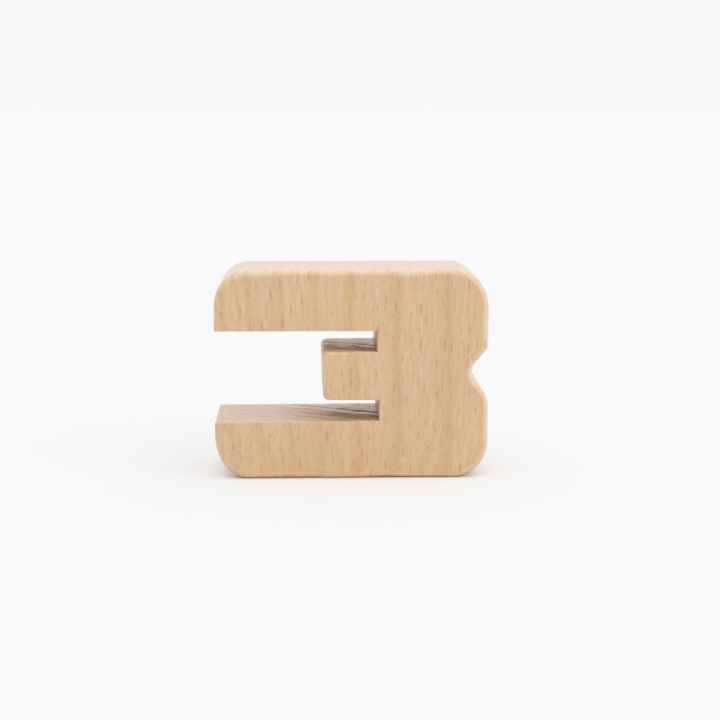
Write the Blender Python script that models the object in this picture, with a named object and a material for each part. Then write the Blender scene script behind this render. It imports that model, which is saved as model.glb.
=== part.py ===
"""A wooden number block: the figure 3, sawn from one piece of solid beech and rounded over along its edges.

The origin lies under the middle of the block, on the face that it stands on. +X points to the right of
someone who reads the figure, +Y runs from the front face to the back face, and +Z is up. Sizes are in metres.
"""

from math import cos, pi, radians, sin, tan
from typing import NamedTuple

import bmesh
import bpy
from mathutils import Vector

# Overall size of the block.
BLOCK_WIDTH = 0.0650
BLOCK_HEIGHT = 0.0500
BLOCK_THICKNESS = 0.0250

# The bars of the figure, the two saw slots between them, and the spine that joins them at the right.
UPPER_ARM_HEIGHT = 0.0146
LOWER_ARM_HEIGHT = 0.01395
LOWER_ARM_TIP_DROP = 0.00022
SLOT_HEIGHT = 0.0049
UPPER_SPINE_WIDTH = 0.02648
LOWER_SPINE_WIDTH = 0.02603
MIDDLE_BAR_LENGTH = 0.01315
MIDDLE_BAR_LEAN = 0.0003  # shorter by this at its lower side

# Corners of the outline, sanded by hand: three of the large ones reach further up the side than along the block.
LOWER_LEFT_ALONG = 0.0080
LOWER_LEFT_UP = 0.0105
LOWER_RIGHT_RADIUS = 0.0084
UPPER_RIGHT_ALONG = 0.0074
UPPER_RIGHT_UP = 0.0102
UPPER_LEFT_ALONG = 0.0080
UPPER_LEFT_UP = 0.0088
ARM_TIP_RADIUS = 0.00045
MIDDLE_BAR_RADIUS = 0.0014

# The waist: a rounded V in the right side, halfway up the block, with a flatter flank below than above.
WAIST_DEPTH = 0.0039
UPPER_FLANK_ANGLE = radians(50)
LOWER_FLANK_ANGLE = radians(42)
WAIST_ROOT_RADIUS = 0.0033
# Shares of each flank, beyond the round at the root, that the round of its shoulder takes up.
UPPER_SHOULDER_SHARE = 0.2
LOWER_SHOULDER_SHARE = 0.9

# Rounding of the edges round the front and back faces: full outside, lighter where a sander hardly reaches.
TOP_EDGE_RADIUS = 0.0018
OUTER_EDGE_RADIUS = 0.00145
WAIST_EDGE_RADIUS = 0.0014
ARM_TIP_EDGE_RADIUS = 0.00025
MIDDLE_BAR_EDGE_RADIUS = 0.00095
SLOT_EDGE_RADIUS = 0.0003
EDGE_SHARE_OF_CORNER = 0.9

# Facets in the curves.
LARGE_CORNER_STEPS = 16
WAIST_ROOT_STEPS = 12
WAIST_SHOULDER_STEPS = 8
SMALL_CORNER_STEPS = 6
EDGE_STEPS = 5

# Beech with an oiled, satin surface, in linear colour.
BEECH_COLOUR = (0.679, 0.474, 0.287, 1.0)
BEECH_ROUGHNESS = 0.5

TO_BACK = Vector((0, 1, 0))


class Corner(NamedTuple):
    """A corner of the outline before it is rounded."""

    x: float
    z: float
    run_in: float = 0.0  # from where its curve starts to the sharp corner
    run_out: float = 0.0  # from the sharp corner to where its curve ends
    edge: float = SLOT_EDGE_RADIUS  # radius of the rounded edges of both faces here
    steps: int = 0

    def place(self):
        return Vector((self.x, 0, self.z))


def outer(x, z, run_in, run_out, edge):
    """One of the block's large corners."""
    return Corner(x, z, run_in, run_out, edge, LARGE_CORNER_STEPS)


def small(x, z, radius, edge):
    """A small round corner, whose edge radius stays inside the corner's own."""
    return Corner(x, z, radius, radius, min(edge, EDGE_SHARE_OF_CORNER * radius), SMALL_CORNER_STEPS)


def waist_corners(right, level):
    """The lower shoulder of the waist, its root and its upper shoulder."""
    half_angle = (UPPER_FLANK_ANGLE + LOWER_FLANK_ANGLE) / 2
    lean = (UPPER_FLANK_ANGLE - LOWER_FLANK_ANGLE) / 2
    sharp_depth = WAIST_DEPTH + WAIST_ROOT_RADIUS * (cos(lean) / sin(half_angle) - 1)
    root_run = WAIST_ROOT_RADIUS / tan(half_angle)
    lower_run = LOWER_SHOULDER_SHARE * (sharp_depth / cos(LOWER_FLANK_ANGLE) - root_run)
    upper_run = UPPER_SHOULDER_SHARE * (sharp_depth / cos(UPPER_FLANK_ANGLE) - root_run)
    lower_level = level - sharp_depth * tan(LOWER_FLANK_ANGLE)
    upper_level = level + sharp_depth * tan(UPPER_FLANK_ANGLE)
    return [
        Corner(right, lower_level, lower_run, lower_run, WAIST_EDGE_RADIUS, WAIST_SHOULDER_STEPS),
        Corner(right - sharp_depth, level, root_run, root_run, WAIST_EDGE_RADIUS, WAIST_ROOT_STEPS),
        Corner(right, upper_level, upper_run, upper_run, WAIST_EDGE_RADIUS, WAIST_SHOULDER_STEPS),
    ]


def figure_corners():
    """The corners of the figure 3, anticlockwise as seen from the front, from the lower left one."""
    left, right = -BLOCK_WIDTH / 2, BLOCK_WIDTH / 2
    upper_root, lower_root = right - UPPER_SPINE_WIDTH, right - LOWER_SPINE_WIDTH
    bar_tip = upper_root - MIDDLE_BAR_LENGTH
    upper_arm_bottom = BLOCK_HEIGHT - UPPER_ARM_HEIGHT
    bar_top = upper_arm_bottom - SLOT_HEIGHT
    bar_bottom = LOWER_ARM_HEIGHT + SLOT_HEIGHT
    arm_tip = (ARM_TIP_RADIUS, ARM_TIP_EDGE_RADIUS)
    bar_corner = (MIDDLE_BAR_RADIUS, MIDDLE_BAR_EDGE_RADIUS)
    return [
        outer(left, 0, LOWER_LEFT_UP, LOWER_LEFT_ALONG, OUTER_EDGE_RADIUS),
        outer(right, 0, LOWER_RIGHT_RADIUS, LOWER_RIGHT_RADIUS, OUTER_EDGE_RADIUS),
        *waist_corners(right, BLOCK_HEIGHT / 2),
        outer(right, BLOCK_HEIGHT, UPPER_RIGHT_UP, UPPER_RIGHT_ALONG, TOP_EDGE_RADIUS),
        outer(left, BLOCK_HEIGHT, UPPER_LEFT_ALONG, UPPER_LEFT_UP, TOP_EDGE_RADIUS),
        small(left, upper_arm_bottom, *arm_tip),
        Corner(upper_root, upper_arm_bottom),
        Corner(upper_root, bar_top),
        small(bar_tip, bar_top, *bar_corner),
        small(bar_tip + MIDDLE_BAR_LEAN, bar_bottom, *bar_corner),
        Corner(lower_root, bar_bottom),
        Corner(lower_root, LOWER_ARM_HEIGHT),
        small(left, LOWER_ARM_HEIGHT - LOWER_ARM_TIP_DROP, *arm_tip),
    ]


def corner_points(before, corner, after):
    """Points of a corner's curve, a conic that touches both sides: round where its two runs are alike."""
    sharp = corner.place()
    if not corner.steps:
        return [sharp]
    way_in = (before.place() - sharp).normalized()
    way_out = (after.place() - sharp).normalized()
    start = sharp + way_in * corner.run_in
    end = sharp + way_out * corner.run_out
    pull = sin(way_in.angle(way_out) / 2)
    points = []
    for step in range(corner.steps + 1):
        t = step / corner.steps
        weights = ((1 - t) ** 2, 2 * pull * t * (1 - t), t**2)
        points.append((start * weights[0] + sharp * weights[1] + end * weights[2]) / sum(weights))
    return points


def outline():
    """The figure's outline as (point, edge radius) pairs, anticlockwise as seen from the front."""
    corners = figure_corners()
    pairs = []
    for index, corner in enumerate(corners):
        before, after = corners[index - 1], corners[(index + 1) % len(corners)]
        pairs += [(point, corner.edge) for point in corner_points(before, corner, after)]
    return pairs


def inward(before, point, after):
    """The way into the wood at an outline point, as long as a unit inset of both its sides needs."""
    normal_in = (point - before).normalized().cross(TO_BACK)
    normal_out = (after - point).normalized().cross(TO_BACK)
    return (normal_in + normal_out) / (1 + normal_in.dot(normal_out))


def sections():
    """Sections from front to back: shares of the edge radius inset and deep, and the side of the face."""
    front = []
    for step in range(EDGE_STEPS + 1):
        angle = pi / 2 * step / EDGE_STEPS
        front.append((1 - sin(angle), 1 - cos(angle), -1))
    return front + [(inset, depth, -side) for inset, depth, side in reversed(front)]


def section_points(pairs, inset, depth, side):
    """One section: the outline drawn in by a share of its edge radius, behind the face on that side."""
    points = []
    for index, (point, edge) in enumerate(pairs):
        before, after = pairs[index - 1][0], pairs[(index + 1) % len(pairs)][0]
        across = TO_BACK * side * (BLOCK_THICKNESS / 2 - edge * depth)
        points.append(point + inward(before, point, after) * edge * inset + across)
    return points


def block_mesh():
    """The solid: the front face, extruded from section to section as far as the back face."""
    pairs = outline()
    front, *others = [section_points(pairs, *section) for section in sections()]
    shape = bmesh.new()
    faces = [shape.faces.new([shape.verts.new(place) for place in front])]
    for places in others:
        made = bmesh.ops.extrude_face_region(shape, geom=faces[-1:])["geom"]
        faces.append(next(item for item in made if isinstance(item, bmesh.types.BMFace)))
        for vert, place in zip(faces[-1].verts, places):
            vert.co = place
    # The extrusion leaves the faces that it passed inside the block.
    bmesh.ops.delete(shape, geom=faces[1:-1], context="FACES_ONLY")
    bmesh.ops.recalc_face_normals(shape, faces=shape.faces)
    mesh = bpy.data.meshes.new("number_three")
    shape.to_mesh(mesh)
    shape.free()
    return mesh


def beech():
    """Pale, oiled beech."""
    material = bpy.data.materials.new("beech")
    material.use_nodes = True
    shader = material.node_tree.nodes["Principled BSDF"]
    shader.inputs["Base Color"].default_value = BEECH_COLOUR
    shader.inputs["Roughness"].default_value = BEECH_ROUGHNESS
    shader.inputs["Metallic"].default_value = 0.0
    return material


def main():
    for thing in list(bpy.data.objects):
        bpy.data.objects.remove(thing)
    mesh = block_mesh()
    mesh.materials.append(beech())
    mesh.shade_smooth()
    mesh.set_sharp_from_angle(angle=radians(40))
    bpy.context.scene.collection.objects.link(bpy.data.objects.new("number_three", mesh))


main()
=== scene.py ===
"""The looks of a wooden number block: the figure 3, sawn from one piece of beech, sanded and oiled.

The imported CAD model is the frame. The block is modelled again over it with finer rounds and the small
unevenness of hand sanding, and gets its beech finish, a white studio and a camera. Lengths are in metres,
and in millimetres where the wood's pattern is worked out.
"""

from math import ceil, cos, pi, radians, sin, tan
from typing import NamedTuple

import bmesh
import bpy
from bpy.props import FloatProperty, FloatVectorProperty, PointerProperty
from mathutils import Matrix, Vector, noise


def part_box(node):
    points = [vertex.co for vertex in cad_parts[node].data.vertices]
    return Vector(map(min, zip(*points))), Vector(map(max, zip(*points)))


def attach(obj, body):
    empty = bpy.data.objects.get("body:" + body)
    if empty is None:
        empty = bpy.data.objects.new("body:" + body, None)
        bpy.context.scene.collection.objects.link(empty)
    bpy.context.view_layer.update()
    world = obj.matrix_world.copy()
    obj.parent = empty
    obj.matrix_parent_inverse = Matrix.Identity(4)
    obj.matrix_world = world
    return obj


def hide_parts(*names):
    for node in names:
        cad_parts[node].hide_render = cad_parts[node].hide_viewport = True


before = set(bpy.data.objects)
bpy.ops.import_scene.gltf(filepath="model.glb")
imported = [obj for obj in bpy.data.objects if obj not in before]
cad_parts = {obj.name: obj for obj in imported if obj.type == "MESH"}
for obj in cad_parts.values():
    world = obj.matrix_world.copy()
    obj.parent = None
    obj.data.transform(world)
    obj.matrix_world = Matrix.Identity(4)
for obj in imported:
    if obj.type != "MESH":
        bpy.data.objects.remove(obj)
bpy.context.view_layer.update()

bl_info = {
    "name": "Number Block",
    "version": (1, 0, 0),
    "blender": (4, 5, 0),
    "location": "3D View > Sidebar > Number Block",
    "description": "Makes a beech number block, the figure 3, in a white studio",
    "category": "Add Mesh",
}

NODE = "number_three"
BLOCK_LOW, BLOCK_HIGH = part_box(NODE)

TO_BACK = Vector((0, 1, 0))
MM = 1000  # millimetres in a metre


def linear(code):
    """A colour as Blender's shaders take it, from its sRGB hex code."""
    shares = [int(code[place : place + 2], 16) / 255 for place in (1, 3, 5)]
    light = [share / 12.92 if share <= 0.04045 else ((share + 0.055) / 1.055) ** 2.4 for share in shares]
    return (*light, 1.0)


def length(name, description, metres):
    """A length that can be set in the sidebar."""
    return FloatProperty(name=name, description=description, default=metres, precision=5, unit="LENGTH")


def angle(name, description, degrees):
    """An angle that can be set in the sidebar."""
    return FloatProperty(name=name, description=description, default=radians(degrees), unit="ROTATION")


def factor(name, description, share):
    """A plain number that can be set in the sidebar."""
    return FloatProperty(name=name, description=description, default=share, min=0.0)


def colour(name, description, code):
    """A colour that can be set in the sidebar."""
    return FloatVectorProperty(
        name=name, description=description, default=linear(code), size=4, min=0.0, max=1.0, subtype="COLOR"
    )


def direction(name, description, way):
    """A direction that can be set in the sidebar."""
    return FloatVectorProperty(name=name, description=description, default=way, subtype="DIRECTION")


class FigureShape(bpy.types.PropertyGroup):
    """Sizes of the figure 3."""

    width: length("Width", "Across the figure", BLOCK_HIGH[0] - BLOCK_LOW[0])
    height: length("Height", "From the table to the top", BLOCK_HIGH[2] - BLOCK_LOW[2])
    thickness: length("Thickness", "From the front face to the back face", BLOCK_HIGH[1] - BLOCK_LOW[1])
    upper_arm: length("Upper arm", "Height of the upper arm", 0.0146)
    lower_arm: length("Lower arm", "Height of the lower arm at the slot's end", 0.01395)
    lower_arm_drop: length("Lower arm drop", "How far the lower arm falls towards its tip", 0.00022)
    slot: length("Slot", "Height of the two saw slots", 0.0049)
    upper_spine: length("Upper spine", "From the upper slot's end to the right side", 0.02648)
    lower_spine: length("Lower spine", "From the lower slot's end to the right side", 0.02603)
    middle_bar: length("Middle bar", "Length of the short middle bar", 0.01315)
    bar_lean: length("Bar lean", "How far the middle bar is shorter at its lower side", 0.0003)
    upper_left_along: length("Upper left, along", "Reach of the upper left round along the top", 0.0080)
    upper_left_up: length("Upper left, up", "Reach of the upper left round up the side", 0.0088)
    upper_right_along: length("Upper right, along", "Reach of the upper right round along the top", 0.0074)
    upper_right_up: length("Upper right, up", "Reach of the upper right round up the side", 0.0102)
    lower_right: length("Lower right corner", "Radius of the corner at the lower right", 0.0084)
    lower_left_along: length("Lower left, along", "Reach of the lower left round along the base", 0.0080)
    lower_left_up: length("Lower left, up", "Reach of the lower left round up the side", 0.0105)
    tip_radius: length("Arm tips", "Radius of the corners at the arms' tips", 0.00045)
    bar_radius: length("Bar corners", "Radius of the middle bar's corners", 0.0014)
    waist_depth: length("Waist depth", "Depth of the waist in the right side", 0.0039)
    upper_flank: angle("Upper flank", "How steeply the waist's upper flank rises to the right", 50)
    lower_flank: angle("Lower flank", "How steeply the waist's lower flank falls to the right", 42)
    waist_root: length("Waist root", "Radius at the bottom of the waist", 0.0033)
    upper_shoulder: factor("Upper shoulder", "Rounded share of the upper flank beyond the root", 0.2)
    lower_shoulder: factor("Lower shoulder", "Rounded share of the lower flank beyond the root", 0.9)
    top_edge: length("Top edges", "Radius of the sanded edges along the top", 0.0018)
    outer_edge: length("Outer edges", "Radius of the sanded edges of the lower corners", 0.00145)
    base_edge: length("Base edges", "Radius of the sanded edges along the base", 0.0019)
    waist_edge: length("Waist edges", "Radius of the edges in the waist", 0.0014)
    tip_edge: length("Tip edges", "Radius of the edges at the arms' tips", 0.00025)
    bar_edge: length("Bar edges", "Radius of the edges at the middle bar's tip", 0.00095)
    slot_edge: length("Slot edges", "Radius of the edges along the slots", 0.0003)
    sanding_reach: length("Sanding reach", "How far along an arm the sanding takes to fade out", 0.023)
    sanding: length("Sanding", "How far hand sanding wanders from the drawn outline", 0.00008)
    sanding_span: length("Sanding span", "Distance over which the sanding wanders", 0.009)
    edge_change: factor("Edge change", "Share by which the radius of the sanded edges comes and goes", 0.22)


class BeechFinish(bpy.types.PropertyGroup):
    """Colours and pattern sizes of the wood."""

    early_wood: colour("Early wood", "Yellowish wood between the year rings", "#D5B082")
    pink_wood: colour("Pink wood", "Paler, pinkish streaks in the early wood", "#D8B792")
    late_wood: colour("Late wood", "Darker wood where each year ends", "#CFA471")
    ring_line: colour("Ring line", "Thin line at the end of a year", "#C0966A")
    cut_line: colour("Cut line", "The same line where the fibres are cut across", "#8A6A52")
    # The sawn wood's paler dust is partly painted light that lifts the slots.
    slot_dust_and_light: colour("Sawn wood", "Dusty wood in the slots, as the saw left it", "#DCC6A6")
    ray_fleck: colour("Ray fleck", "Short dark spindles where the rays are cut through", "#BA8353")
    # The paler edge wood is partly wear and partly painted highlight from the lamp above, with painted bounce
    # light from the table at the base.
    worn_edge_and_highlight: colour("Worn edge", "Paler wood where the edges are sanded round", "#F4E7D1")
    edge_wear_and_highlight: factor("Edge wear", "How much of the paler wood shows along the edges", 0.53)
    sanded_roughness: factor("Sanded roughness", "Roughness of the sanded and oiled outside", 0.20)
    sawn_roughness: factor("Sawn roughness", "Roughness in the slots where the saw cut cleanly", 0.30)
    torn_roughness: factor("Torn roughness", "Roughness in the slots where the saw tore the wood", 0.75)
    broad_ray_width: length("Broad ray width", "Width of a broad ray's fleck", 0.00046)
    broad_ray_length: length("Broad ray length", "Length of a broad ray's fleck along the grain", 0.0032)
    fine_ray_width: length("Fine ray width", "Width of a fine ray's fleck", 0.00028)
    fine_ray_length: length("Fine ray length", "Length of a fine ray's fleck along the grain", 0.0013)
    fibre_width: length("Fibre width", "Width of the fine streaks along the grain", 0.00045)
    pore_depth: length("Pore depth", "Depth of the pores and flecks in the surface", 0.00002)


class StudioStage(bpy.types.PropertyGroup):
    """The camera, the table and the light."""

    camera_place: FloatVectorProperty(
        name="Camera", description="Where the camera stands", default=(-0.01135, -0.41460, 0.08869),
        subtype="XYZ", unit="LENGTH",
    )
    camera_heading: angle("Heading", "How far the camera looks to the right of straight ahead", 1.89)
    camera_tilt: angle("Tilt", "How far the camera looks down", 8.50)
    camera_roll: angle("Roll", "How far the camera leans", 0.02)
    camera_lens: factor("Lens", "Focal length in millimetres, on a frame 36 mm wide", 86.14)
    white: colour("White", "White of the background", "#F7F7F7")
    table: colour("Table", "Colour of the table top", "#F8F8F8")
    # Painted warm bounce light and painted shade on the table where the block meets it.
    table_painted_bounce: colour("Table by the wood", "Warm tint of the table where the block meets it", "#F8E2D4")
    table_glow: factor("Table glow", "Share of the table's white that no shadow reaches", 0.6)
    contact_reach: length("Contact reach", "How far from the block the table's glow takes to set in", 0.004)
    ambient: factor("Ambient", "Light from all round", 0.80)
    overhead: factor("Overhead", "Strength of the soft lamp above, a little in front of the block", 0.60)
    overhead_size: angle("Overhead size", "How wide the lamp above looks from the block", 70)
    overhead_from: direction("Overhead from", "The way to the lamp above", (0.15, -0.2, 0.95))
    fill: factor("Fill", "Strength of the soft lamp in front, at the right", 0.62)
    fill_size: angle("Fill size", "How wide the lamp in front looks from the block", 60)
    fill_from: direction("Fill from", "The way to the lamp in front", (0.8, -0.6, 0.25))


class NumberBlock(bpy.types.PropertyGroup):
    """All settings of the number block."""

    shape: PointerProperty(type=FigureShape)
    finish: PointerProperty(type=BeechFinish)
    stage: PointerProperty(type=StudioStage)


# The sockets of a Mix node that hold colours: its two inputs and its output.
COLOUR_A, COLOUR_B, COLOUR_OUT = 6, 7, 2


def add_node(tree, kind, inputs=None, output=0, **settings):
    """Adds a node with its settings and returns one of its outputs.

    An input takes a value, or a socket of another node, which is then linked to it.
    """
    node = tree.nodes.new(kind)
    for name, value in settings.items():
        setattr(node, name, value)
    for key, value in (inputs or {}).items():
        if isinstance(value, bpy.types.NodeSocket):
            tree.links.new(value, node.inputs[key])
        else:
            node.inputs[key].default_value = value
    return node.outputs[output]


# How finely the round stretches and the long straight ones are cut.
LARGE_CORNER_STEPS = 32
WAIST_STEPS = 20
SMALL_CORNER_STEPS = 8
EDGE_STEPS = 8
THICKNESS_STEPS = 12
LONGEST_SIDE = 0.0011
# A ring this far past each end of a rounded edge keeps the flat beside it flat.
HOLDING_RING = 0.0001
# Faces that meet at more than this have a crisp edge between them.
CRISP_ANGLE = radians(40)

# What each vertex keeps: the radius of its rounded edge, how far it is left as sawn, and how pale its edge
# is, from wear and painted highlight.
LAYERS = ("edge", "sawn", "wear_and_highlight")
# How far the wood is left as sawn at the bottom of the waist, at the slots' mouths and at the arms' tips.
WAIST_SAWN, MOUTH_SAWN, TIP_SAWN = 0.7, 0.62, 0.1
# The waist lies within this of the middle of the right side.
WAIST_REACH = 0.006
# Points this close to a limit count as inside it.
SLACK = 0.00001
# Sanding follows noise, this strongly, and the outline and the edges wander each in its own way.
SANDING_SWING = 0.7
OUTLINE_SEED, EDGE_SEED = 0.0, 7.3
# Share of the wear and painted highlight of a rounded edge that is left where the side begins.
EDGE_FADE = 0.8
# Wear and painted highlight of the lightest edges, and painted bounce light from the table on the rounds at
# the base, as shares of the wear and painted highlight along the top.
SLIGHT_WEAR_AND_HIGHLIGHT = 0.3
BASE_PAINTED_BOUNCE = 1.5
# How quickly the painted bounce light at the base falls off round the edge towards the contact, as a power.
BASE_BOUNCE_FALL = 3


class Corner(NamedTuple):
    """A corner of the outline before it is rounded."""

    x: float
    z: float
    edge: float  # radius of the rounded edges of both faces here
    run: float = 0.0  # from the sharp corner to where its round starts
    steps: int = 1
    stretch: float = 1.0  # how many times as far the round goes up as along


def outer(x, z, edge, along, up):
    """One of the block's four large corners, sanded round that far along the base or top and up the side."""
    return Corner(x, z, edge, along, LARGE_CORNER_STEPS, up / along)


def figure_corners(shape):
    """The corners of the figure 3, anticlockwise as seen from the front, from the lower left one."""
    left, right = -shape.width / 2, shape.width / 2
    upper_root, lower_root = right - shape.upper_spine, right - shape.lower_spine
    bar_tip = upper_root - shape.middle_bar
    upper_arm_bottom = shape.height - shape.upper_arm
    bar_top, bar_bottom = upper_arm_bottom - shape.slot, shape.lower_arm + shape.slot
    lower_tip = shape.lower_arm - shape.lower_arm_drop

    middle = shape.height / 2
    half_angle = (shape.upper_flank + shape.lower_flank) / 2
    lean = (shape.upper_flank - shape.lower_flank) / 2
    sharp_depth = shape.waist_depth + shape.waist_root * (cos(lean) / sin(half_angle) - 1)
    rise, fall = sharp_depth * tan(shape.upper_flank), sharp_depth * tan(shape.lower_flank)
    root_run = shape.waist_root / tan(half_angle)
    upper_run = shape.upper_shoulder * (sharp_depth / cos(shape.upper_flank) - root_run)
    lower_run = shape.lower_shoulder * (sharp_depth / cos(shape.lower_flank) - root_run)

    tip = (shape.tip_edge, shape.tip_radius, SMALL_CORNER_STEPS)
    bar = (shape.bar_edge, shape.bar_radius, SMALL_CORNER_STEPS)
    return [
        outer(left, 0, shape.outer_edge, shape.lower_left_along, shape.lower_left_up),
        outer(right, 0, shape.outer_edge, shape.lower_right, shape.lower_right),
        Corner(right, middle - fall, shape.waist_edge, lower_run, WAIST_STEPS),
        Corner(right - sharp_depth, middle, shape.waist_edge, root_run, WAIST_STEPS),
        Corner(right, middle + rise, shape.waist_edge, upper_run, WAIST_STEPS),
        outer(right, shape.height, shape.top_edge, shape.upper_right_along, shape.upper_right_up),
        outer(left, shape.height, shape.top_edge, shape.upper_left_along, shape.upper_left_up),
        Corner(left, upper_arm_bottom, *tip),
        Corner(upper_root, upper_arm_bottom, shape.slot_edge),
        Corner(upper_root, bar_top, shape.slot_edge),
        Corner(bar_tip, bar_top, *bar),
        Corner(bar_tip + shape.bar_lean, bar_bottom, *bar),
        Corner(lower_root, bar_bottom, shape.slot_edge),
        Corner(lower_root, shape.lower_arm, shape.slot_edge),
        Corner(left, lower_tip, *tip),
    ]


def figure_face(block, shape):
    """The figure as one flat face: its sharp corners are bevelled round, and its long sides are cut up."""
    for name in LAYERS:
        block.verts.layers.float.new(name)
    edge_layer = block.verts.layers.float["edge"]
    corners = figure_corners(shape)
    verts = [block.verts.new((corner.x, 0, corner.z)) for corner in corners]
    for vert, corner in zip(verts, corners):
        vert[edge_layer] = corner.edge
    block.faces.new(verts)
    for vert, corner in zip(verts, corners):
        if corner.run:
            round_verts = bmesh.ops.bevel(
                block, geom=[vert], offset=corner.run, offset_type="OFFSET", affect="VERTICES",
                segments=corner.steps, profile=0.5, material=-1,
            )["verts"]
            level = Matrix.Translation((0, 0, -corner.z))
            bmesh.ops.scale(block, vec=(1, 1, corner.stretch), space=level, verts=round_verts)
    for edge in list(block.edges):
        cuts = ceil(edge.calc_length() / LONGEST_SIDE) - 1
        if cuts:
            bmesh.ops.bisect_edges(block, edges=[edge], cuts=cuts)
    return next(iter(block.faces))


def inward(before, point, after):
    """The way into the wood at an outline point, as long as a unit inset of both its sides needs."""
    normal_in = (point - before).normalized().cross(TO_BACK)
    normal_out = (after - point).normalized().cross(TO_BACK)
    return (normal_in + normal_out) / (1 + normal_in.dot(normal_out))


class Section(NamedTuple):
    """A slice through the block, parallel to its faces."""

    inset: float  # share of the edge radius by which the outline is drawn in
    more_inset: float  # and how much further it is drawn in, in metres
    depth: float  # share of the edge radius by which the slice lies behind its face
    more_depth: float  # and how much deeper it lies, in metres
    reach: float  # -1 on the front side, 1 on the back side
    wear_and_highlight: float  # 1 where the wear and painted highlight of the edge are strongest


def sections():
    """The slices from the front face to the back face: rounded edges, with plain slices between them."""
    front = [Section(1, HOLDING_RING, 0, 0, -1, 0)]
    for step in range(EDGE_STEPS + 1):
        turn = pi / 2 * step / EDGE_STEPS
        front.append(Section(1 - sin(turn), 0, 1 - cos(turn), 0, -1, sin(turn)))
    between = []
    for step in range(THICKNESS_STEPS + 1):
        reach = 2 * step / THICKNESS_STEPS - 1
        # The wear and painted highlight fade out on the side, over the first of these slices.
        wear_and_highlight = EDGE_FADE if abs(reach) == 1 else 0
        between.append(Section(0, 0, 1, HOLDING_RING, reach, wear_and_highlight))
    back = [section._replace(reach=1) for section in reversed(front)]
    return front + between + back


def left_sawn(point, shape):
    """1 deep in the slots, where no sanding reached, and less towards the arms' tips and in the waist."""
    low = shape.lower_arm - shape.lower_arm_drop - SLACK
    high = shape.height - shape.upper_arm + SLACK
    end = shape.width / 2 - shape.lower_spine + SLACK
    if point.x > end:
        in_waist = abs(point.z - shape.height / 2) < WAIST_REACH
        inside = shape.width / 2 - point.x
        return WAIST_SAWN * min(inside / shape.waist_depth, 1.0) if in_waist else 0.0
    if not low < point.z < high:
        return 0.0
    inside = point.x - (end - shape.middle_bar)
    return min(max(MOUTH_SAWN + inside / shape.sanding_reach, TIP_SAWN), 1.0)


def sanded(point, shape, seed):
    """A smooth wander between 0 and 1 over the block's surface, as a hand holding it to a sander leaves."""
    wander = noise.noise(point / shape.sanding_span + Vector((seed, 0, 0)))
    return min(max(0.5 + SANDING_SWING * wander, 0.0), 1.0)


def block_mesh(shape):
    """The solid: the figure's face, extruded from slice to slice as far as the back face."""
    block = bmesh.new()
    first = figure_face(block, shape)
    edge_layer, sawn_layer, wear_and_highlight_layer = [block.verts.layers.float[name] for name in LAYERS]
    outline = [(vert.co.copy(), vert[edge_layer]) for vert in first.verts]
    ways = []
    for index, (point, _) in enumerate(outline):
        ways.append(inward(outline[index - 1][0], point, outline[(index + 1) % len(outline)][0]))
    faces = [first]
    for number, section in enumerate(sections()):
        if number:
            made = bmesh.ops.extrude_face_region(block, geom=faces[-1:])["geom"]
            faces.append(next(item for item in made if isinstance(item, bmesh.types.BMFace)))
        for vert, (point, edge), way in zip(faces[-1].verts, outline, ways):
            side = Vector((0, section.reach * shape.thickness / 2, 0))
            change = 1 + shape.edge_change * (2 * sanded(point + side, shape, EDGE_SEED) - 1)
            # 0 along the base, and 1 from where the lower right corner's round ends.
            off_table = min(point.z / shape.lower_right, 1.0)
            radius = change * (edge + (shape.base_edge - shape.outer_edge) * (1 - off_table))
            across = section.reach * (shape.thickness / 2 - radius * section.depth - section.more_depth)
            place = point + TO_BACK * across
            wander = shape.sanding * sanded(place, shape, OUTLINE_SEED) * off_table
            vert.co = place + way * (radius * section.inset + section.more_inset + wander)
            vert[sawn_layer] = left_sawn(point, shape) * section.depth
            # At the base the paler wood is painted bounce light from the table, which fades out towards the
            # contact, where the round lies in shade.
            above = (1 - section.inset) * (1 - section.depth) ** BASE_BOUNCE_FALL
            wear_and_highlight = section.wear_and_highlight * off_table + BASE_PAINTED_BOUNCE * above * (1 - off_table)
            vert[wear_and_highlight_layer] = wear_and_highlight * (SLIGHT_WEAR_AND_HIGHLIGHT + (1 - SLIGHT_WEAR_AND_HIGHLIGHT) * radius / shape.top_edge)
    # The extrusion leaves the faces that it passed inside the block.
    bmesh.ops.delete(block, geom=faces[1:-1], context="FACES_ONLY")
    bmesh.ops.recalc_face_normals(block, faces=block.faces)
    for face in block.faces:
        face.smooth = len(face.verts) == 4
    mesh = bpy.data.meshes.new("beech_three")
    block.to_mesh(mesh)
    block.free()
    mesh.set_sharp_from_angle(angle=CRISP_ANGLE)
    return mesh


# The wood. The tree's heart lies behind the block and to its right, and the fibres run up the figure. All
# places and sizes are in millimetres, and places out from the heart are distances from it.
PITH = (85.0, 158.0, 0.0)
# Between these places across the block the fibres come to lean to the left, by this share of their rise.
LEAN_FROM_X, LEAN_TO_X = 10.0, -32.5
LEAN = 0.1
LEAN_LEVEL = 25.0  # the height at which the lean moves nothing
# From here outwards the count of rings grows with the distance and with its square.
RING_START = 181.5
RINGS_PER_MM = 0.2212
RINGS_CLOSING_UP = 0.00137
RING_WANDER = 0.8  # how far a ring wavers to either side
# How clear the rings are on the sanded faces, at two places out from the heart.
RINGS_CLEAR_FROM, RINGS_CLEAR_TO = 189.0, 200.0
RINGS_CLEAR, RINGS_FAINTER = 0.42, 0.35
# Where the rings' lines set in on level faces, and where the saw came to tear the wood between them too.
LINES_FROM, LINES_TO = 173.0, 176.0
TORN_FROM, TORN_TO = 178.5, 184.5
# Shares of a year's growth: where the dark band round its end sets in, and how far past that end run the
# band, the thin line in it, and that line on level faces.
BAND_FROM = 0.85
BAND_FADE, LINE_FADE, CUT_LINE_FADE = 0.3, 0.12, 0.45

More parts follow.
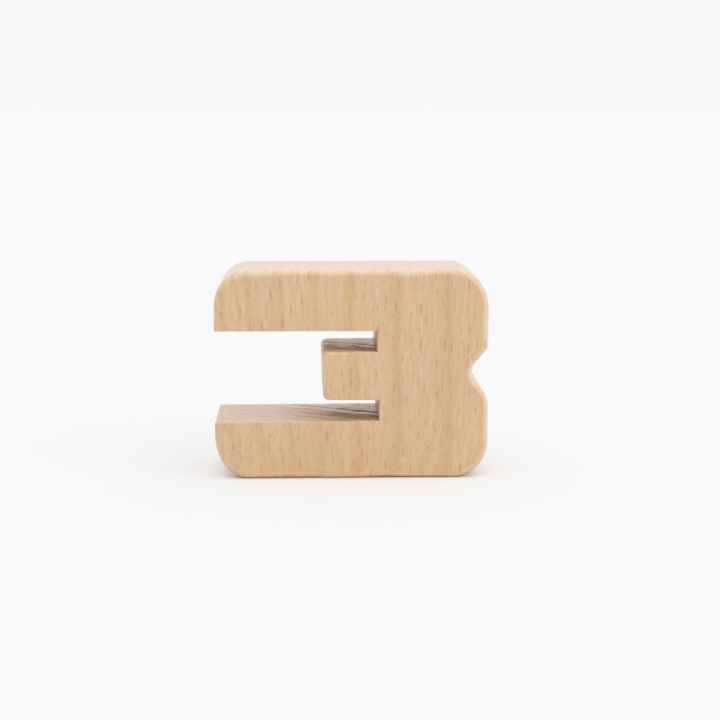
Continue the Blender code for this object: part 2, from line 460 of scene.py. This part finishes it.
# Sizes of the patterns round the heart, out from it and up the trunk.
RING_WAVES = (14.0, 14.0, 22.0)
PATCH = (0.8, 2.0, 8.0)
STAIN = (11.0, 11.0, 24.0)
TORN_STREAK = (4.0, 0.8, 4.0)
BROAD_RAYS_APART = (1.8, 40.0, 4.2)
FINE_RAYS_APART = (0.6, 30.0, 1.8)
# Lengths of two kinds of fine streaks along the grain.
FIBRE_LENGTH, DASH_LENGTH = 9.0, 1.5
# Noise seldom leaves this range.
NOISE_LOW, NOISE_HIGH = 0.3, 0.7

# What a fine streak leaves of the red, green and blue light, and what a broad stain leaves of all light.
DARK_STREAK, PALE_STREAK = (0.95, 0.935, 0.905, 1.0), (1.05, 1.065, 1.095, 1.0)
DARK_STAIN, PALE_STAIN = 0.94, 1.06
# Fibre noise at which a ring's line is gone, and at which it is whole.
LINE_GONE, LINE_WHOLE = 0.4, 0.7

# A fleck's given size is divided by a number between these two.
SMALLEST_FLECK, LARGEST_FLECK = 1.6, 0.7
# A fleck fades between these shares of its half size, and this share of the flecks is too faint to show.
FLECK_RIM, FLECK_CORE = 1.2, 0.2
FLECKS_HIDDEN = 0.1
# Strength of the fine flecks beside the broad ones, and of all flecks on upright and on level faces.
FINE_FLECKS = 0.4
FLECKS_UPRIGHT, FLECKS_LEVEL = 0.75, 0.2

# How far a face is turned up or down where the fibres begin to be cut across, and where they fully are.
CUT_FROM, CUT_FULL = 0.5, 0.9
# The same for the dents of pores and flecks, which are left to the upright faces.
PORES_GONE, PORES_FULL = 0.6, 0.3

# In the slots: share of dust, which is also painted light that lifts the slots, on clean-cut and on torn
# wood, and how much of that the upright walls catch.
DUST_AND_LIGHT, TORN_DUST_AND_LIGHT = 0.7, 0.45
WALL_DUST_AND_LIGHT = 0.5
# Strength of the rings' lines on sanded level faces, in the slots, and where the saw tore all the wood there.
SANDED_LINES, SAWN_LINES, TORN_LINES = 0.04, 1.0, 0.5
# What a streak in the slots adds to the tearing, at the least and at the most.
STREAK_LEAST, STREAK_MOST = -1.0, 0.8
# Specular level of the sanded wood, and in the slots of clean-cut and of torn wood.
SANDED_SHINE, CLEAN_SHINE, TORN_SHINE = 0.62, 1.0, 0.0

# Wear and painted highlight below this don't show, and above it they come and go by this share.
PALE_EDGE_FROM = 0.06
PALE_EDGE_CHANGE = 0.25
# Refractive index of the oiled wood.
BEECH_IOR = 1.58


def grain_frame(tree):
    """Where a point lies in the tree, in millimetres: round the heart, out from it and up the trunk."""
    place = add_node(tree, "ShaderNodeTexCoord", output="Object")
    place = add_node(tree, "ShaderNodeVectorMath", {0: place, "Scale": MM}, operation="SCALE")
    along = add_node(tree, "ShaderNodeSeparateXYZ", {0: place}, "X")
    up = along.node.outputs["Z"]
    lean = add_node(
        tree, "ShaderNodeMapRange",
        {"Value": along, "From Min": LEAN_FROM_X, "From Max": LEAN_TO_X, "To Max": LEAN},
    )
    height = add_node(tree, "ShaderNodeMath", {0: up, 1: LEAN_LEVEL}, operation="SUBTRACT")
    aside = add_node(tree, "ShaderNodeMath", {0: lean, 1: height}, operation="MULTIPLY")
    aside = add_node(tree, "ShaderNodeCombineXYZ", {"X": aside})
    place = add_node(tree, "ShaderNodeVectorMath", {0: place, 1: aside}, operation="ADD")
    from_pith = add_node(tree, "ShaderNodeVectorMath", {0: place, 1: PITH}, operation="SUBTRACT")
    level = add_node(tree, "ShaderNodeVectorMath", {0: from_pith, 1: (1, 1, 0)}, operation="MULTIPLY")
    out = add_node(tree, "ShaderNodeVectorMath", {0: level}, "Value", operation="LENGTH")
    right = add_node(tree, "ShaderNodeSeparateXYZ", {0: from_pith}, "X")
    turn = add_node(tree, "ShaderNodeMath", {0: right.node.outputs["Y"], 1: right}, operation="ARCTAN2")
    round_heart = add_node(tree, "ShaderNodeMath", {0: turn, 1: RING_START}, operation="MULTIPLY")
    return add_node(tree, "ShaderNodeCombineXYZ", {"X": round_heart, "Y": out, "Z": up})


def streaks(tree, grain, size, detail):
    """Noise in streaks of that size round the heart, out from it and up the trunk."""
    scaled = add_node(tree, "ShaderNodeVectorMath", {0: grain, 1: size}, operation="DIVIDE")
    return add_node(tree, "ShaderNodeTexNoise", {"Vector": scaled, "Scale": 1.0, "Detail": detail}, "Fac")


def year_share(tree, grain):
    """How far a year's growth has come: 0 just outside the end of the year before, 1 at its own end.

    In the block the rings close up outwards from about 7 mm to about 3.5 mm, and waver up the trunk.
    """
    waver = streaks(tree, grain, RING_WAVES, detail=3.0)
    shift = add_node(
        tree, "ShaderNodeMapRange",
        {"Value": waver, "To Min": -RING_WANDER - RING_START, "To Max": RING_WANDER - RING_START},
    )
    out = add_node(tree, "ShaderNodeSeparateXYZ", {0: grain}, "Y")
    out = add_node(tree, "ShaderNodeMath", {0: out, 1: shift}, operation="ADD")
    rate = add_node(
        tree, "ShaderNodeMath", {0: out, 1: RINGS_CLOSING_UP, 2: RINGS_PER_MM}, operation="MULTIPLY_ADD"
    )
    years = add_node(tree, "ShaderNodeMath", {0: out, 1: rate}, operation="MULTIPLY")
    return add_node(tree, "ShaderNodeMath", {0: years}, operation="FRACT")


def ray_flecks(tree, grain, apart, wide, tall):
    """Spindles where rays are cut through, that far apart, each of its own strength and near that size."""
    cells = add_node(tree, "ShaderNodeVectorMath", {0: grain, 1: apart}, operation="DIVIDE")
    middle = add_node(tree, "ShaderNodeTexVoronoi", {"Vector": cells, "Scale": 1.0}, "Position")
    chance = add_node(tree, "ShaderNodeSeparateColor", {0: middle.node.outputs["Color"]}, "Red")
    offset = add_node(tree, "ShaderNodeVectorMath", {0: cells, 1: middle}, operation="SUBTRACT")
    in_half_sizes = (apart[0] / (MM * wide / 2), 0.0, apart[2] / (MM * tall / 2))
    offset = add_node(tree, "ShaderNodeVectorMath", {0: offset, 1: in_half_sizes}, operation="MULTIPLY")
    size = add_node(
        tree, "ShaderNodeMapRange",
        {"Value": chance.node.outputs["Green"], "To Min": SMALLEST_FLECK, "To Max": LARGEST_FLECK},
    )
    offset = add_node(tree, "ShaderNodeVectorMath", {0: offset, "Scale": size}, operation="SCALE")
    away = add_node(tree, "ShaderNodeVectorMath", {0: offset}, "Value", operation="LENGTH")
    spindle = add_node(
        tree, "ShaderNodeMapRange", {"Value": away, "From Min": FLECK_RIM, "From Max": FLECK_CORE},
        interpolation_type="SMOOTHSTEP",
    )
    strength = add_node(tree, "ShaderNodeMapRange", {"Value": chance, "From Min": FLECKS_HIDDEN})
    return add_node(tree, "ShaderNodeMath", {0: spindle, 1: strength}, operation="MULTIPLY")


def oiled_beech(finish):
    """Beech, sanded and oiled: pale tan with faint upright year rings and short dark ray flecks.

    The fibres are cut across on level faces, which show the rings as brown lines. The oil leaves a satin
    surface that turns pale where it is seen at a low angle. The edges are sanded down to paler wood, which
    also paints a highlight along the top and bounce light from the table along the base. In the slots the saw
    left the wood dusty, and the pale dust also paints in light there; it tore the wood dull and dark along
    the rings, with a shine between them.
    """
    material = bpy.data.materials.new("Sanded oiled beech")
    material.use_nodes = True
    tree = material.node_tree
    shader = tree.nodes["Principled BSDF"]
    shader.inputs["IOR"].default_value = BEECH_IOR
    smooth = {"interpolation_type": "SMOOTHSTEP"}
    mix = {"output": COLOUR_OUT, "data_type": "RGBA"}
    grain = grain_frame(tree)
    out = add_node(tree, "ShaderNodeSeparateXYZ", {0: grain}, "Y")
    sawn = add_node(tree, "ShaderNodeAttribute", output="Fac", attribute_name="sawn")
    wear_and_highlight = add_node(tree, "ShaderNodeAttribute", output="Fac", attribute_name="wear_and_highlight")

    # How far a surface cuts across the fibres, 0 on the upright faces and 1 on the level ones.
    normal = add_node(tree, "ShaderNodeTexCoord", output="Normal")
    facing = add_node(tree, "ShaderNodeSeparateXYZ", {0: normal}, "Z")
    facing = add_node(tree, "ShaderNodeMath", {0: facing}, operation="ABSOLUTE")
    across = add_node(
        tree, "ShaderNodeMapRange", {"Value": facing, "From Min": CUT_FROM, "From Max": CUT_FULL}, **smooth
    )

    # The dark band round the end of each year, and the thin line in it.
    year = year_share(tree, grain)
    start = add_node(tree, "ShaderNodeMapRange", {"Value": year, "From Min": BAND_FROM}, **smooth)
    late = add_node(
        tree, "ShaderNodeMapRange", {"Value": year, "From Min": BAND_FADE, "From Max": 0.0}, **smooth
    )
    late = add_node(tree, "ShaderNodeMath", {0: late, 1: start}, operation="MAXIMUM")
    line = add_node(
        tree, "ShaderNodeMapRange", {"Value": year, "From Min": LINE_FADE, "From Max": 0.0}, **smooth
    )
    line = add_node(tree, "ShaderNodeMath", {0: line, 1: start}, operation="MAXIMUM")
    clear = add_node(
        tree, "ShaderNodeMapRange",
        {
            "Value": out, "From Min": RINGS_CLEAR_FROM, "From Max": RINGS_CLEAR_TO,
            "To Min": RINGS_CLEAR, "To Max": RINGS_FAINTER,
        },
    )

    fibre_width = MM * finish.fibre_width
    fibres = streaks(tree, grain, (fibre_width, fibre_width, FIBRE_LENGTH), detail=0.0)
    dashes = streaks(tree, grain, (fibre_width, fibre_width, DASH_LENGTH), detail=0.0)
    patches = streaks(tree, grain, PATCH, detail=2.0)
    patches = add_node(
        tree, "ShaderNodeMapRange",
        {"Value": patches, "From Min": NOISE_LOW, "From Max": NOISE_HIGH}, **smooth,
    )
    stains = streaks(tree, grain, STAIN, detail=2.0)
    broad = ray_flecks(tree, grain, BROAD_RAYS_APART, finish.broad_ray_width, finish.broad_ray_length)
    fine = ray_flecks(tree, grain, FINE_RAYS_APART, finish.fine_ray_width, finish.fine_ray_length)

    # The sanded wood: patches and stains, then the rings, the fine streaks and the flecks.
    wood = add_node(
        tree, "ShaderNodeMix",
        {"Factor": patches, COLOUR_A: finish.early_wood, COLOUR_B: finish.pink_wood}, **mix,
    )
    tone = add_node(tree, "ShaderNodeMapRange", {"Value": stains, "To Min": DARK_STAIN, "To Max": PALE_STAIN})
    wood = add_node(tree, "ShaderNodeVectorMath", {0: wood, "Scale": tone}, operation="SCALE")
    late_share = add_node(tree, "ShaderNodeMath", {0: late, 1: clear}, operation="MULTIPLY")
    wood = add_node(
        tree, "ShaderNodeMix", {"Factor": late_share, COLOUR_A: wood, COLOUR_B: finish.late_wood}, **mix
    )
    broken = add_node(
        tree, "ShaderNodeMapRange", {"Value": fibres, "From Min": LINE_GONE, "From Max": LINE_WHOLE}, **smooth
    )
    broken = add_node(tree, "ShaderNodeMath", {0: line, 1: broken}, operation="MULTIPLY")
    broken = add_node(tree, "ShaderNodeMath", {0: clear, 1: broken}, operation="MULTIPLY")
    wood = add_node(
        tree, "ShaderNodeMix", {"Factor": broken, COLOUR_A: wood, COLOUR_B: finish.ring_line}, **mix
    )
    for streak in (fibres, dashes):
        tone = add_node(
            tree, "ShaderNodeMix", {"Factor": streak, COLOUR_A: DARK_STREAK, COLOUR_B: PALE_STREAK}, **mix
        )
        wood = add_node(tree, "ShaderNodeVectorMath", {0: wood, 1: tone}, operation="MULTIPLY")
    flecks = add_node(tree, "ShaderNodeMath", {0: fine, 1: FINE_FLECKS}, operation="MULTIPLY")
    flecks = add_node(tree, "ShaderNodeMath", {0: flecks, 1: broad}, operation="MAXIMUM")
    shown = add_node(
        tree, "ShaderNodeMapRange", {"Value": across, "To Min": FLECKS_UPRIGHT, "To Max": FLECKS_LEVEL}
    )
    flecks = add_node(tree, "ShaderNodeMath", {0: flecks, 1: shown}, operation="MULTIPLY")
    wood = add_node(
        tree, "ShaderNodeMix", {"Factor": flecks, COLOUR_A: wood, COLOUR_B: finish.ray_fleck}, **mix
    )

    # Cut across, the end of each year is a brown line, which the saw tore darker than the sander left it.
    lines = add_node(tree, "ShaderNodeMapRange", {"Value": out, "From Min": LINES_FROM, "From Max": LINES_TO})
    edge = add_node(
        tree, "ShaderNodeMapRange", {"Value": year, "From Min": CUT_LINE_FADE, "From Max": 0.0}, **smooth
    )
    edge = add_node(tree, "ShaderNodeMath", {0: edge, 1: start}, operation="MAXIMUM")
    edge = add_node(tree, "ShaderNodeMath", {0: edge, 1: lines}, operation="MULTIPLY")
    zone = add_node(
        tree, "ShaderNodeMapRange", {"Value": out, "From Min": TORN_FROM, "From Max": TORN_TO}, **smooth
    )
    torn = add_node(tree, "ShaderNodeMath", {0: zone, 1: edge}, operation="MAXIMUM")
    # The dust is partly painted light, which lifts the dark slots and their end walls.
    dust_and_light = add_node(tree, "ShaderNodeMapRange", {"Value": torn, "To Min": DUST_AND_LIGHT, "To Max": TORN_DUST_AND_LIGHT})
    caught = add_node(tree, "ShaderNodeMapRange", {"Value": across, "To Min": WALL_DUST_AND_LIGHT})
    caught = add_node(tree, "ShaderNodeMath", {0: caught, 1: sawn}, operation="MULTIPLY")
    caught = add_node(tree, "ShaderNodeMath", {0: caught, 1: sawn}, operation="MULTIPLY")
    dust_and_light = add_node(tree, "ShaderNodeMath", {0: caught, 1: dust_and_light}, operation="MULTIPLY")
    wood = add_node(
        tree, "ShaderNodeMix", {"Factor": dust_and_light, COLOUR_A: wood, COLOUR_B: finish.slot_dust_and_light}, **mix
    )
    deep = add_node(tree, "ShaderNodeMapRange", {"Value": zone, "To Min": SAWN_LINES, "To Max": TORN_LINES})
    dark = add_node(tree, "ShaderNodeMapRange", {"Value": sawn, "To Min": SANDED_LINES, "To Max": deep})
    dark = add_node(tree, "ShaderNodeMath", {0: dark, 1: across}, operation="MULTIPLY")
    dark = add_node(tree, "ShaderNodeMath", {0: dark, 1: edge}, operation="MULTIPLY")
    wood = add_node(
        tree, "ShaderNodeMix", {"Factor": dark, COLOUR_A: wood, COLOUR_B: finish.cut_line}, **mix
    )

    # The paler wood of the sanded edges, wear with painted highlight along the top and painted bounce light
    # at the base, comes and goes with the patches.
    wear_and_highlight = add_node(
        tree, "ShaderNodeMapRange", {"Value": wear_and_highlight, "From Min": PALE_EDGE_FROM, "To Max": finish.edge_wear_and_highlight}
    )
    paleness_change = add_node(
        tree, "ShaderNodeMapRange", {"Value": patches, "To Min": 1 - PALE_EDGE_CHANGE, "To Max": 1 + PALE_EDGE_CHANGE}
    )
    wear_and_highlight = add_node(tree, "ShaderNodeMath", {0: wear_and_highlight, 1: paleness_change}, operation="MULTIPLY")
    wood = add_node(
        tree, "ShaderNodeMix", {"Factor": wear_and_highlight, COLOUR_A: wood, COLOUR_B: finish.worn_edge_and_highlight}, **mix
    )
    tree.links.new(wood, shader.inputs["Base Color"])

    # In the slots the torn wood is rough and dull, in streaks along the rings, and the wood between shines.
    streaky = streaks(tree, grain, TORN_STREAK, detail=1.0)
    streaky = add_node(
        tree, "ShaderNodeMapRange",
        {
            "Value": streaky, "From Min": NOISE_LOW, "From Max": NOISE_HIGH,
            "To Min": STREAK_LEAST, "To Max": STREAK_MOST,
        },
    )
    torn = add_node(tree, "ShaderNodeMath", {0: torn, 1: streaky}, operation="ADD", use_clamp=True)
    roughness = add_node(
        tree, "ShaderNodeMapRange",
        {"Value": torn, "To Min": finish.sawn_roughness, "To Max": finish.torn_roughness},
    )
    roughness = add_node(
        tree, "ShaderNodeMapRange", {"Value": sawn, "To Min": finish.sanded_roughness, "To Max": roughness}
    )
    tree.links.new(roughness, shader.inputs["Roughness"])
    cut = add_node(tree, "ShaderNodeMath", {0: sawn, 1: across}, operation="MULTIPLY")
    shine = add_node(tree, "ShaderNodeMapRange", {"Value": torn, "To Min": CLEAN_SHINE, "To Max": TORN_SHINE})
    shine = add_node(tree, "ShaderNodeMapRange", {"Value": cut, "To Min": SANDED_SHINE, "To Max": shine})
    tree.links.new(shine, shader.inputs["Specular IOR Level"])

    # Pores and flecks are fine dents in the upright faces.
    height = add_node(tree, "ShaderNodeMath", {0: dashes, 1: flecks}, operation="SUBTRACT")
    upright = add_node(
        tree, "ShaderNodeMapRange", {"Value": facing, "From Min": PORES_GONE, "From Max": PORES_FULL}
    )
    bump = add_node(
        tree, "ShaderNodeBump", {"Strength": upright, "Height": height, "Distance": finish.pore_depth}
    )
    tree.links.new(bump, shader.inputs["Normal"])
    return material


def show(name, data):
    """Puts a new object with that data into the scene, at the origin."""
    thing = bpy.data.objects.new(name, data)
    bpy.context.scene.collection.objects.link(thing)
    return thing


class NUMBERBLOCK_OT_figure(bpy.types.Operator):
    """Makes the figure 3 in beech"""

    bl_idname = "number_block.figure"
    bl_label = "Figure 3"

    def execute(self, context):
        settings = context.scene.number_block
        figure = show("beech_three", block_mesh(settings.shape))
        figure.data.materials.append(oiled_beech(settings.finish))
        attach(figure, "root")
        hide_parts(NODE)
        return {"FINISHED"}


# The table reaches this far each way, so that its rim is out of sight.
TABLE_REACH = 20
# The shadow reaches further beside the block than in front of it, so that way distance counts less.
BESIDE_SHARE = 0.36


def studio_camera(stage):
    """The camera that sees the block as the photograph does."""
    lens = bpy.data.cameras.new("studio_camera")
    lens.lens = stage.camera_lens
    camera = show("studio_camera", lens)
    heading = Matrix.Rotation(-stage.camera_heading, 4, "Z")
    tilt = Matrix.Rotation(pi / 2 - stage.camera_tilt, 4, "X")
    roll = Matrix.Rotation(stage.camera_roll, 4, "Z")
    camera.matrix_world = Matrix.Translation(stage.camera_place) @ heading @ tilt @ roll
    return camera


def white_table(stage, base_half):
    """A wide white table top, which keeps the soft shadow of a block whose base reaches that far each way."""
    top = bmesh.new()
    bmesh.ops.create_grid(top, x_segments=1, y_segments=1, size=TABLE_REACH)
    mesh = bpy.data.meshes.new("white_table")
    top.to_mesh(mesh)
    top.free()
    # The matt top has no gloss: it is an even white, in which the eye finds only the block's soft shadow.
    material = bpy.data.materials.new("Matt white table")
    material.use_nodes = True
    tree = material.node_tree
    # Close to the block the shadow stays as dark as it falls, and a painted warm bounce light from the wood,
    # a little darker than the white, tints it.
    place = add_node(tree, "ShaderNodeTexCoord", output="Object")
    place = add_node(tree, "ShaderNodeVectorMath", {0: place}, operation="ABSOLUTE")
    place = add_node(tree, "ShaderNodeVectorMath", {0: place, 1: base_half}, operation="SUBTRACT")
    place = add_node(tree, "ShaderNodeVectorMath", {0: place, 1: (0, 0, 0)}, operation="MAXIMUM")
    place = add_node(tree, "ShaderNodeVectorMath", {0: place, 1: (BESIDE_SHARE, 1, 0)}, operation="MULTIPLY")
    away = add_node(tree, "ShaderNodeVectorMath", {0: place}, "Value", operation="LENGTH")
    fade = add_node(
        tree, "ShaderNodeMapRange",
        {"Value": away, "From Max": stage.contact_reach, "To Max": stage.table_glow},
        interpolation_type="SMOOTHSTEP",
    )
    seen = add_node(tree, "ShaderNodeLightPath", output="Is Camera Ray")
    glowing = add_node(tree, "ShaderNodeMath", {0: seen, 1: fade}, operation="MULTIPLY")
    # The painted bounce and shade fade out over the contact reach.
    clear = add_node(tree, "ShaderNodeMapRange", {"Value": away, "From Max": stage.contact_reach})
    top_colour = add_node(
        tree, "ShaderNodeMix", {"Factor": clear, COLOUR_A: stage.table_painted_bounce, COLOUR_B: stage.table},
        COLOUR_OUT, data_type="RGBA",
    )
    lit = add_node(tree, "ShaderNodeBsdfDiffuse", {"Color": top_colour})
    glow = add_node(tree, "ShaderNodeEmission", {"Color": stage.white, "Strength": 1.0})
    both = add_node(tree, "ShaderNodeMixShader", {0: glowing, 1: lit, 2: glow})
    tree.links.new(both, tree.nodes["Material Output"].inputs["Surface"])
    mesh.materials.append(material)
    return show("white_table", mesh)


def studio_light(stage):
    """Even white light from all round, and large soft lamps above and in front of the block."""
    world = bpy.data.worlds.new("White studio")
    world.use_nodes = True
    tree = world.node_tree
    seen = add_node(tree, "ShaderNodeLightPath", output="Is Camera Ray")
    mirrored = seen.node.outputs["Is Glossy Ray"]
    # Gloss mirrors a full white, whatever the strength of the light.
    strength = add_node(tree, "ShaderNodeMapRange", {"Value": mirrored, "To Min": stage.ambient})
    around = add_node(tree, "ShaderNodeBackground", {"Color": (1, 1, 1, 1), "Strength": strength})
    white = add_node(tree, "ShaderNodeBackground", {"Color": stage.white, "Strength": 1.0})
    both = add_node(tree, "ShaderNodeMixShader", {0: seen, 1: around, 2: white})
    tree.links.new(both, tree.nodes["World Output"].inputs["Surface"])
    bpy.context.scene.world = world
    lamps = (
        ("overhead_lamp", stage.overhead, stage.overhead_size, stage.overhead_from),
        ("fill_lamp", stage.fill, stage.fill_size, stage.fill_from),
    )
    for name, strength, size, way in lamps:
        lamp = bpy.data.lights.new(name, "SUN")
        lamp.energy = strength
        lamp.angle = size
        show(name, lamp).rotation_euler = Vector(way).to_track_quat("Z", "Y").to_euler()


class NUMBERBLOCK_OT_stage(bpy.types.Operator):
    """Sets up the white table, the light and the camera"""

    bl_idname = "number_block.stage"
    bl_label = "Studio"

    def execute(self, context):
        stage = context.scene.number_block.stage
        shape = context.scene.number_block.shape
        context.scene.camera = studio_camera(stage)
        base_half = (shape.width / 2 - shape.lower_right, shape.thickness / 2 - shape.base_edge, 0)
        white_table(stage, base_half)
        studio_light(stage)
        context.scene.view_settings.view_transform = "Standard"
        return {"FINISHED"}


class NUMBERBLOCK_PT_sidebar(bpy.types.Panel):
    """Settings and steps of the number block"""

    bl_label = "Number Block"
    bl_idname = "NUMBERBLOCK_PT_sidebar"
    bl_space_type = "VIEW_3D"
    bl_region_type = "UI"
    bl_category = "Number Block"

    def draw(self, context):
        settings = context.scene.number_block
        for step, group in ((NUMBERBLOCK_OT_stage, settings.stage), (NUMBERBLOCK_OT_figure, settings.shape)):
            self.layout.operator(step.bl_idname)
            self.list_settings(group)
        self.list_settings(settings.finish)

    def list_settings(self, group):
        """One line for each setting of a group."""
        for name in group.__annotations__:
            self.layout.prop(group, name)


CLASSES = (
    FigureShape,
    BeechFinish,
    StudioStage,
    NumberBlock,
    NUMBERBLOCK_OT_stage,
    NUMBERBLOCK_OT_figure,
    NUMBERBLOCK_PT_sidebar,
)


def register():
    for kind in CLASSES:
        bpy.utils.register_class(kind)
    bpy.types.Scene.number_block = PointerProperty(type=NumberBlock)


def unregister():
    del bpy.types.Scene.number_block
    for kind in reversed(CLASSES):
        bpy.utils.unregister_class(kind)


def main():
    register()
    bpy.ops.number_block.stage()
    bpy.ops.number_block.figure()


if __name__ == "__main__":
    main()
